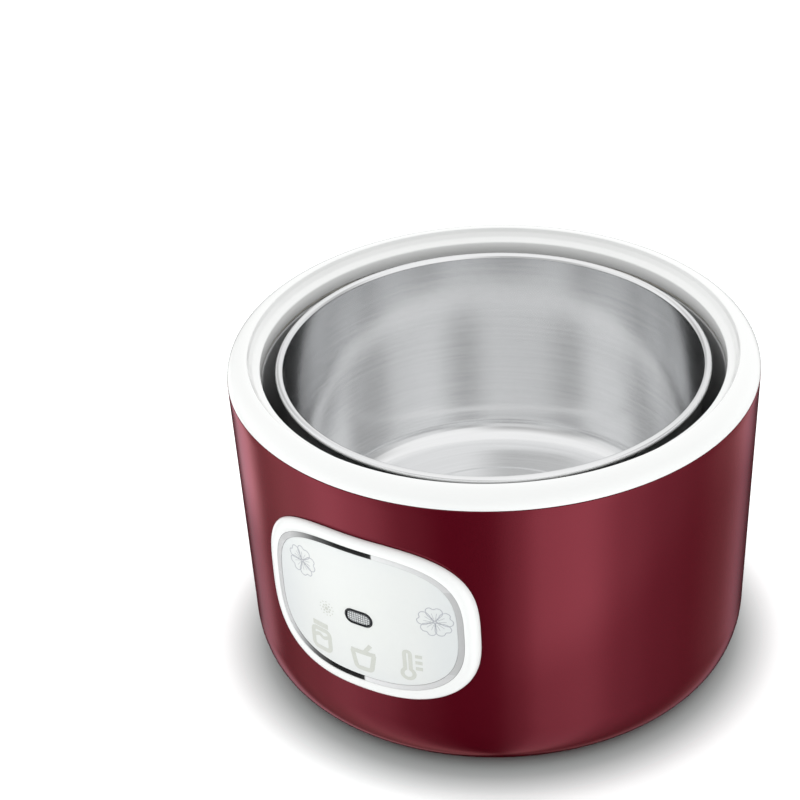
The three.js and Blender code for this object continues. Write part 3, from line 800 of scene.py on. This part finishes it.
def inner_pot():
    floor = POT_LOW.z
    corner = 10
    foot = 75.5
    roll_r, roll_z = POT_RIM_RADIUS - POT_ROLL, POT_HIGH.z - POT_ROLL
    centre = (foot - corner, floor + corner)
    profile = rounded([(0, floor + 0.6), (48, floor + 0.6, 1.5), (50, floor, 1.5), centre])[:-1]
    profile += arc(centre, (corner, corner), -90, 0, 20)
    profile += [(roll_r - POT_ROLL + POT_WALL, roll_z - POT_ROLL - 0.6)]
    profile += arc((roll_r, roll_z), (POT_ROLL, POT_ROLL), -96, 180, 32)
    profile += arc(centre, (corner - POT_WALL, corner - POT_WALL), 0, -90, 20)
    inside = rounded([profile[-1], (50, floor + POT_WALL, 1.5), (48, floor + POT_WALL + 0.6, 1.5),
                      (0, floor + POT_WALL + 0.6)])
    pot = lathe("inner_pot_steel", divided(profile + inside[1:], 5), "pot")
    tidy_mesh(pot, 50)
    settle(pot, "inner_pot", "stainless", "pot")


# ---- indicator panel ----
PANEL_TURNS = even_turns(PANEL_HALF_WIDTH, PANEL_HALF_HEIGHT, PANEL_ROUNDNESS, OUTLINE_POINTS)


def on_shell(x, z, offset):
    """A point in front of the panel's middle, at an offset from the shell's face."""
    radius = shell_radius(z) + offset
    return (x, -math.sqrt(radius * radius - x * x), z)


def panel_outline(inset):
    return outline_points(PANEL_HALF_WIDTH - inset, PANEL_HALF_HEIGHT - inset, PANEL_ROUNDNESS,
                          PANEL_Z, PANEL_TURNS)


def loft(name, rings, material):
    """A closed skin over rings, each a list of (x, z) with one offset from the shell."""
    sections = [[on_shell(x, z, offset) for x, z in outline] for outline, offset in rings]
    return sweep(name, sections, material, closed=True)


def panel_band(name, section, material):
    """A ring of a constant section: points of (inset, offset), closed on itself."""
    return loft(name, [(panel_outline(inset), offset) for inset, offset in section], material)


def panel_frame():
    band = PANEL_BAND + GAP - SEAM
    rim = arc((2.6, 0.55), (2.6, 2.05), 180, 78, 14)
    section = [(0, GAP)] + rim
    section += rounded([rim[-1], (band, 2.05, 0.4), (band, 0, 0), (PANEL_BAND + 4, 0, 0.2),
                        (PANEL_BAND + 4, -1.8, 0.2), (PANEL_BAND, -1.8), (PANEL_BAND, -4, 0.3),
                        (FLANGE, -4, 0.3), (FLANGE, GAP)])[1:]
    settle(panel_band("panel_frame_bezel", section, "white"), "panel_frame", "white")


def panel_trim():
    outer = PANEL_BAND + GAP
    inner = outer + TRIM_WIDTH
    section = rounded([(outer, GAP), (outer, 2.0, 0.25), (inner, 2.0, 0.25), (inner, GAP)],
                      closed=True, steps=4)
    settle(panel_band("panel_trim_line", section, "trim"), "panel_trim", "chrome")


def stadium_ring(length, height, outline):
    """The lamp's outline, with a point in the direction of each point of another outline."""
    half, reach = height / 2, (length - height) / 2
    ring = []
    for x, z in outline:
        turn = math.atan2(z - LAMP_Z, x)
        c, s = math.cos(turn), math.sin(turn)
        far = half / abs(s) if abs(s) > 1e-9 else 1e9
        if abs(c) * far > reach:
            far = abs(c) * reach + math.sqrt(max(0, (c * c - 1) * reach * reach + half * half))
        ring.append((far * c, LAMP_Z + far * s))
    return ring


def between(a, b, share):
    return [(x0 + (x1 - x0) * share, z0 + (z1 - z0) * share) for (x0, z0), (x1, z1) in zip(a, b)]


def panel_plate():
    edge = panel_outline(PANEL_BAND + GAP + TRIM_WIDTH + SEAM)
    hole = stadium_ring(*LAMP_HOLE, edge)
    steps = 28
    rings = [(edge, GAP), (edge, PLATE_TOP - 0.15), (between(edge, hole, 0.004), PLATE_TOP)]
    rings += [(between(edge, hole, k / steps), PLATE_TOP) for k in range(1, steps)]
    rings += [(hole, PLATE_TOP), (hole, GAP)]
    rings += [(between(hole, edge, k / steps), GAP) for k in range(1, steps)]
    settle(loft("panel_plate_face", rings, "pearl"), "panel_plate", "pearl")


def lamp():
    guide = panel_outline(PANEL_BAND + 2 * GAP + TRIM_WIDTH)
    outer, inner = (stadium_ring(*size, guide) for size in LAMP_RING)
    band = [(outer, GAP), (outer, 1.85), (between(outer, inner, 0.35), 2.25),
            (between(outer, inner, 0.7), 2.38), (inner, 2.1), (inner, GAP)]
    settle(loft("lamp_bezel_ring", band, "smoke"), "lamp_bezel", "smoke")

    rim = stadium_ring(*LENS_SIZE, guide)
    middle = [(0.0, LAMP_Z)] * len(rim)
    steps = 26

    def facet(x, z):
        """Little four-sided prisms standing on the lens."""
        across, up = (abs((v / LENS_PITCH) % 1 - 0.5) * 2 for v in (x, z))
        return 0.32 * (1 - max(across, up))

    sections = [[on_shell(x, z, -1.0) for x, z in rim]]
    for k in range(steps + 1):
        outline = between(rim, middle, k / steps * 0.995)
        sections.append([on_shell(x, z, 1.75 + (facet(x, z) if k > 1 else 0)) for x, z in outline])
    settle(sweep("lamp_lens_prisms", sections, "lens", smooth_degrees=20), "lamp_lens", "lens")


def stroke(name, path, width, material, closed=False):
    """A printed line on the plate: a path of (x, z) with an even width."""
    line = np.array(path, dtype=float)
    if closed:
        ahead, back = np.roll(line, -1, axis=0), np.roll(line, 1, axis=0)
    else:
        ahead, back = np.vstack([line[1:], line[-1:]]), np.vstack([line[:1], line[:-1]])
    along = ahead - back
    along /= np.maximum(np.linalg.norm(along, axis=1, keepdims=True), 1e-9)
    side = np.column_stack([-along[:, 1], along[:, 0]]) * width / 2
    low, high = PLATE_TOP - INK_DEPTH, PLATE_TOP + INK_DEPTH
    sections = [[on_shell(x - dx, z - dz, low), on_shell(x + dx, z + dz, low),
                 on_shell(x + dx, z + dz, high), on_shell(x - dx, z - dz, high)]
                for (x, z), (dx, dz) in zip(line, side)]
    return sweep(name, sections, material, closed, 40)


def gather(name, pieces):
    """Joins printed lines into one piece."""
    joined = pieces[0]
    work = bmesh.new()
    for obj in pieces:
        work.from_mesh(obj.data)
    work.to_mesh(joined.data)
    work.free()
    for obj in pieces[1:]:
        bpy.data.objects.remove(obj)
    joined.name = name
    joined.data.name = name
    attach(joined, "housing")


def curve_points(points, closed=False, steps=10):
    """A smooth path through points."""
    padded = [points[-1]] + points + points[:2] if closed else points[:1] + points + points[-1:]
    path = []
    for corners in zip(padded, padded[1:], padded[2:], padded[3:]):
        for t in (k / steps for k in range(steps)):
            path.append(tuple(0.5 * (2 * b + (c - a) * t + (2 * a - 5 * b + 4 * c - d) * t * t
                                     + (3 * b - a - 3 * c + d) * t ** 3)
                              for a, b, c, d in zip(*corners)))
    return path if closed else path + [points[-1]]


def flower(name, cx, cz, turn):
    """A plain five-petal blossom drawn in thin lines."""
    radius, line = 6.4, 0.3
    petal = [(0.10, 0.0), (0.28, 0.22), (0.55, 0.44), (0.85, 0.44), (0.99, 0.24), (0.90, 0.03),
             (0.98, -0.20), (0.86, -0.42), (0.57, -0.45), (0.28, -0.22)]
    pieces = []

    def place(points, angle):
        c, s = math.cos(angle), math.sin(angle)
        return [(cx + radius * (x * c - z * s), cz + radius * (x * s + z * c)) for x, z in points]

    for i in range(5):
        angle = math.radians(turn + 72 * i)
        pieces.append(stroke("petal", place(curve_points(petal, True), angle), line, "flower_ink", True))
        for lean in (-0.10, 0.10):
            vein = curve_points([(0.20, lean * 0.5), (0.42, lean), (0.62, lean * 1.5)])
            pieces.append(stroke("vein", place(vein, angle), line * 0.5, "flower_ink"))
        stamen = curve_points([(0.04, 0.0), (0.14, 0.02), (0.24, 0.0)])
        half_turn = angle + math.radians(36)
        pieces.append(stroke("stamen", place(stamen, half_turn), line, "flower_ink"))
        pieces.append(dot(*place([(0.28, 0.0)], half_turn)[0], 0.34, "flower_ink"))
    gather(name, pieces)


def dot(x, z, radius, material):
    """A printed dot."""
    ring = [(x + a, z + b) for a, b in around(20, radius / 2)]
    return stroke("dot", ring, radius, material, True)


def sun_mark(name, cx, cz, radius):
    """A warmth mark: a dot with two rings of smaller dots."""
    pieces = [dot(cx, cz, 0.8, "mark_ink")]
    for count, share, size in ((8, 0.50, 0.42), (12, 0.92, 0.28)):
        pieces += [dot(cx + x, cz + z, size, "mark_ink") for x, z in around(count, radius * share)]
    gather(name, pieces)


def pen_line(*points):
    """A path in steps short enough to follow the plate."""
    return divided(points, 1.5)


def jar_mark():
    """The mark's lines, as for the next two: (path about the mark's middle, width, closed)."""
    body = rounded([(-4, -5.8, 1.8), (4, -5.8, 1.8), (4, 3, 1.8), (-4, 3, 1.8)], closed=True)
    level = curve_points([(-3.2, -0.4), (-1.1, 0.5), (1.1, -0.5), (3.2, 0.4)])
    return [(pen_line(*body), 1.9, True), (pen_line((-3.6, 5.5), (3.6, 5.5)), 2.2, False),
            (level, 1.5, False)]


def cup_mark():
    cup = rounded([(-4.6, 2.2), (-3.2, -5.4, 1.6), (3.2, -5.4, 1.6), (4.6, 2.2)])
    return [(pen_line(*cup), 1.9, False), (pen_line((-5.2, 2.2), (5.2, 2.2)), 1.9, False),
            (pen_line((0.8, 2.8), (3.4, 6.4)), 1.7, False)]


def thermometer_mark():
    bulb = arc((-1.2, -4), (2.3, 2.3), 118, 422, 27)
    top = arc((-1.2, 5.2), (1.1, 1.1), 0, 180, 9)
    tube = pen_line(bulb[-1], top[0]) + top[1:-1] + pen_line(top[-1], bulb[0])
    ticks = [(pen_line((1.8, z), (4.4, z)), 1.5, False) for z in (4.6, 1.8, -1.0)]
    return [(bulb[:-1] + tube[:-1], 1.5, True)] + ticks


def panel_prints():
    flower("print_blossom_left", -24.8, 80.2, 74)
    flower("print_blossom_right", 29.9, 70.6, 20)
    sun_mark("print_warmth", -14.5, 63.1, 3.3)
    marks = {"print_jar": (jar_mark(), -18.4, 48.4), "print_cup": (cup_mark(), 0.7, 46.6),
             "print_thermometer": (thermometer_mark(), 19.9, 48.6)}
    for name, (lines, cx, cz) in marks.items():
        gather(name, [stroke("line", [(cx + x, cz + z) for x, z in path], width, "mark_ink", closed)
                      for path, width, closed in lines])


# ---- power inlet ----
def inlet():
    face = INLET_FACE_Y
    outline = stadium(26, 16.5, 0, INLET_Z)
    flange = prism("inlet_housing_body", outline, INLET_SEAT_Y + GAP, face, "black")
    body = prism("body", stadium(19.4, 11.4, 0, INLET_Z), face - 18, face - 0.5, "black")
    boolean(flange, body, "UNION")
    boolean(flange, prism("recess", stadium(16.6, 8.6, 0, INLET_Z), face - 15, face + 1, "black"))
    for x in (-PIN_X, PIN_X):
        boolean(flange, pin_rod("hole", x, face - 20, face - 10, 1.5))
    bevelled(flange, 0.3, 3)
    settle(flange, "inlet_housing", "black")
    for i, x in enumerate((-PIN_X, PIN_X)):
        low, high = node_box(f"inlet_pin_{i + 1}")
        pin = pin_rod(f"inlet_pin_{i + 1}_metal", x, low.y, high.y, 1.2, True)
        settle(pin, f"inlet_pin_{i + 1}", "brass")


def pin_rod(name, x, low, high, radius, round_end=False):
    """A rod along Y, its outer end rounded when asked."""
    tip = [(radius, high), (0, high)]
    if round_end:
        tip = [(r, y) for y, r in arc((high - radius * 0.8, 0), (radius * 0.8, radius), 90, 0, 8)]
    profile = [(0, low), (radius, low)] + tip

    def place(r, y, turn):
        return x + r * math.cos(turn), y, INLET_Z + r * math.sin(turn)
    return revolve(name, profile, "brass", place, 40)


# ---- wiring ----
WIRE_RADIUS = 0.85
WIRES = {
    "live_wire": ("brown_wire", [(-4.3, 80, 22), (-6, 72, 20), (-9, 64, 16), (-10, 58.6, 11)]),
    "neutral_wire": ("blue_wire", [(4.3, 80, 22), (6, 72, 20), (9, 64, 16), (10, 58.6, 11)]),
    "thermostat_lead": ("brown_wire", [(-10, 43.4, 10), (-16, 39, 9), (-21, 36, 11), (-21.5, 34, 15)]),
    "fuse_lead": ("red_wire", [(-14.5, 34, 15), (-14, 22, 11), (-10, 0, 12), (-8, -26, 14), (2, -33, 22),
                               (10.8, -34, 30)]),
    "heater_live_lead": ("red_wire", [(25.2, -34, 30), (30, -31, 26), (22, -24, 23), (12, -21, 26),
                                      (7, -18.2, 29.9)]),
    "heater_neutral_lead": ("blue_wire", [(10, 43.4, 10), (22, 26, 9), (20, -8, 10), (4, -21, 20),
                                          (-7, -18.2, 29.9)]),
    "lamp_live_lead": ("red_wire", [(0, 43.4, 10), (-6, 20, 7.6), (-12, -40, 8), (-6, -72, 12), (-4, -86, 24),
                                    (-4, -90.1, 38), (-4, -90.2, 48), (-4, -90.6, 56.6)]),
    "lamp_neutral_lead": ("blue_wire", [(14, 43.4, 13), (14, 20, 7.6), (12, -40, 8), (6, -72, 12),
                                        (4, -86, 24), (4, -90.1, 38), (4, -90.2, 48), (4, -90.6, 56.6)]),
}


def wires():
    for node, (slot, route) in WIRES.items():
        path = [Vector(p) for p in curve_points(route, steps=9)]
        sections = []
        normal = Vector((0, 0, 1))
        for i, here in enumerate(path):
            along = (path[min(i + 1, len(path) - 1)] - path[max(i - 1, 0)]).normalized()
            normal = (normal - along * normal.dot(along)).normalized()
            side = along.cross(normal)
            sections.append([tuple(here + normal * a + side * b) for a, b in around(14, WIRE_RADIUS)])
        settle(sweep(f"{node}_insulation", sections, slot), node, slot)


def dress_inner_nodes():
    """The remaining CAD nodes keep their shape and get the right finish."""
    finishes = {
        "plate_nut_1": "steel", "plate_nut_2": "steel", "plate_nut_3": "steel", "ptc_heater": "aluminium",
        "heater_bracket": "steel", "thermostat": "black", "thermal_fuse": "silicone",
        "terminal_block": "base", "lamp_light_box": "black", "lamp_board": "circuit", "lamp_led": "red_wire",
    }
    for node, finish in finishes.items():
        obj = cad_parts[node]
        if not obj.material_slots:
            obj.data.materials.append(MATERIALS[finish])
        for material_slot in obj.material_slots:
            material_slot.material = MATERIALS[finish]


# ---- studio ----
# The light cards that glossy surfaces see: (degrees round from the viewing direction, brightness).
LOW_BANDS = [(-180, 0.0), (-160, 0.02), (-150, 0.9), (-140, 1.25), (-127, 0.28), (-100, 0.74), (-80, 1.24),
             (-62, 0.88), (-42, 0.25), (-22, 0.0), (-4, 0.04), (8, 0.46), (20, 1.12), (40, 1.28), (60, 0.62),
             (80, 0.32), (100, 0.19), (120, 0.36), (142, 0.74), (158, 0.06)]
HIGH_BANDS = [(-180, 0.9), (-150, 0.55), (-110, 1.0), (-70, 0.9), (-40, 0.55), (-10, 0.5), (20, 1.0),
              (60, 1.0), (90, 0.55), (130, 0.85)]
SOFT_LIGHT = 1.13  # strength of the plain light from all sides
VIEWER_SIDE_LOSS = 0.42  # how much weaker it is from the viewer's side


def reflection_stops(bands):
    """Ramp stops round the world, its ends meeting at one brightness."""
    stops = sorted(((degrees + VIEW_AZIMUTH + 180) % 360 / 360, brightness) for degrees, brightness in bands)
    low, high = stops[0], stops[-1]
    gap = low[0] + 1 - high[0]
    seam = high[1] + (low[1] - high[1]) * (1 - high[0]) / gap
    return [(0.0, seam)] + stops + [(1.0, seam)]


def floor_and_scrim():
    floor = lathe("studio_floor", [(0, -0.05), (6000, -0.05)], "floor", segments=96)
    floor.visible_glossy = False
    middle = (SCRIM_SHIFT * VIEW_COS, SCRIM_SHIFT * VIEW_SIN)
    # the scrim paints the shade of the floor round the object into what glossy surfaces reflect; nothing else
    # sees it
    painted_shade_scrim = lathe("reflection_scrim", [(0, 0.02), (210, 0.02)], "painted_shade_scrim", centre=middle, segments=64)
    for ray in ("camera", "diffuse", "transmission", "volume_scatter", "shadow"):
        setattr(painted_shade_scrim, f"visible_{ray}", False)


def world_light():
    scene = bpy.context.scene
    scene.view_settings.view_transform = "Standard"
    world = bpy.data.worlds.new("studio")
    scene.world = world
    world.use_nodes = True
    world.cycles.sampling_method = "NONE"
    tree = world.node_tree
    tree.nodes.clear()
    n = Nodes(tree)
    x, y, z = n.split(tree.nodes.new("ShaderNodeTexCoord").outputs["Generated"])
    azimuth = n.math("ARCTAN2", x, n.math("MULTIPLY", y, -1))
    share = n.spread(azimuth, 0, 1, (-math.pi, math.pi))
    below = n.ramp(share, reflection_stops(LOW_BANDS), "EASE")
    above = n.ramp(share, reflection_stops(HIGH_BANDS), "EASE")
    overhead = n.blend(n.spread(z, 0, 1, (0.55, 0.85)), above, WHITE)
    cards = n.blend(n.spread(z, 0, 1, (-0.30, 0.0)), below, overhead)
    frontal = n.math("ADD", n.math("MULTIPLY", x, VIEW_SIN), n.math("MULTIPLY", y, -VIEW_COS))
    plain = n.math("MULTIPLY_ADD", frontal, -VIEWER_SIDE_LOSS, SOFT_LIGHT)
    glossy_ray = tree.nodes.new("ShaderNodeLightPath").outputs["Is Glossy Ray"]
    n.make("OutputWorld", n.make("MixShader", glossy_ray, n.make("Background", WHITE, plain),
                                 n.make("Background", cards, 1.0)))


def camera():
    """A long lens from the front right, above, aimed a little beside the object."""
    distance, height = 878.3, SHELL_TOP_Z + 536.3
    heading, tilt, roll = (math.radians(v) for v in (VIEW_AZIMUTH + 2.32, 90 - 32.15, -2.72))
    data = bpy.data.cameras.new("camera")
    data.sensor_width = 36
    data.lens = 123.2
    data.clip_start = 0.02
    obj = bpy.data.objects.new("camera", data)
    place = Vector((distance * VIEW_SIN, -distance * VIEW_COS, height)) * MM
    aim = Matrix.Rotation(heading, 4, "Z") @ Matrix.Rotation(tilt, 4, "X") @ Matrix.Rotation(roll, 4, "Z")
    obj.matrix_world = Matrix.Translation(place) @ aim
    bpy.context.scene.collection.objects.link(obj)
    bpy.context.scene.camera = obj


for make_part in (floor_and_scrim, world_light, camera, outer_shell, rim_ring, base_cover, feet, screws,
                  well_liner, well_gasket, heat_plate, inner_pot, panel_frame, panel_trim, panel_plate,
                  lamp, panel_prints, inlet, wires, dress_inner_nodes):
    make_part()
